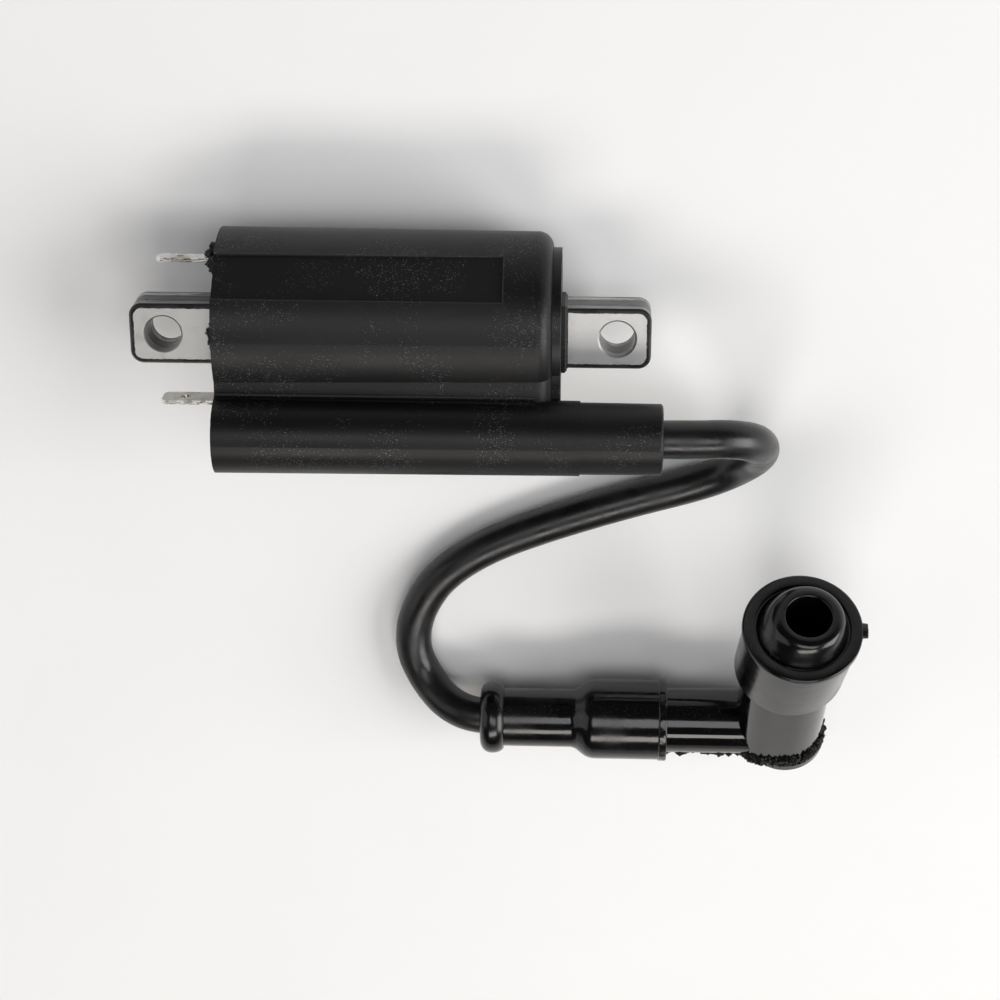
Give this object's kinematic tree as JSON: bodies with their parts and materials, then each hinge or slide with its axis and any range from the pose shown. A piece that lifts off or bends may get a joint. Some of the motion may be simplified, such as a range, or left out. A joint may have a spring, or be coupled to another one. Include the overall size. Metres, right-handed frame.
{
  "type": "ignition coil",
  "caption": "Small engine ignition coil: potted round coil on a laminated core with mounting ears, high-tension lead and turning elbow spark plug cap.",
  "frame": {"origin": "midway between the two mounting holes, on the bare front face of the core", "axes": "+X along the core from the open, potted end to the closed end; +Z out of the bare mounting faces; +Y completes the set"},
  "size_m": [0.1345, 0.1085, 0.0429],
  "materials": {
    "core_bare": "ground bare face inside a black varnished edge",
    "core_varnished": "black insulating varnish on the faces, bare sheared edges",
    "case_plastic": "semi-matt moulded black",
    "collar_plastic": "moulded black",
    "bobbin_plastic": "natural moulded nylon",
    "magnet_wire": "enamelled copper wire",
    "insulation_film": "amber insulating film",
    "resin": "black potting resin",
    "tinned_brass": "tin plated",
    "grommet_rubber": "black",
    "contact_brass": "plain",
    "lead_rubber": "smooth black jacket",
    "boot_rubber": "glossy black rubber",
    "cap_phenolic": "polished black phenolic",
    "plated_steel": "zinc plated",
    "resistor_body": "glazed"
  },
  "bodies": {
    "coil": {"core_plate_front": "core_bare", "core_plate_middle": "core_varnished", "core_plate_rear": "core_varnished", "case": "case_plastic", "core_collar": "collar_plastic", "primary_bobbin": "bobbin_plastic", "primary_winding": "magnet_wire", "layer_insulation": "insulation_film", "secondary_bobbin": "bobbin_plastic", "secondary_winding": "magnet_wire", "potting_resin": "resin", "terminal_tab_primary": "tinned_brass", "terminal_tab_earth": "tinned_brass", "terminal_grommet": "grommet_rubber", "ht_contact": "contact_brass", "ht_strap": "contact_brass", "lead_coil_end": "lead_rubber", "ht_lead": "lead_rubber", "lead_cap_end": "lead_rubber"},
    "plug_cap": {"lead_boot": "boot_rubber", "cap_body": "cap_phenolic", "lead_screw": "plated_steel", "resistor_spring": "plated_steel", "cap_resistor": "resistor_body", "resistor_end_caps": "plated_steel", "plug_terminal": "contact_brass", "plug_clip": "plated_steel", "plug_boot": "boot_rubber"}
  },
  "joints": [
    {"name": "cap_turn", "type": "hinge", "parent": "coil", "child": "plug_cap", "pos_m": [0.0442, -0.0808, -0.0101], "axis": [1, 0, 0], "range_deg": [-180, 180]}
  ]
}
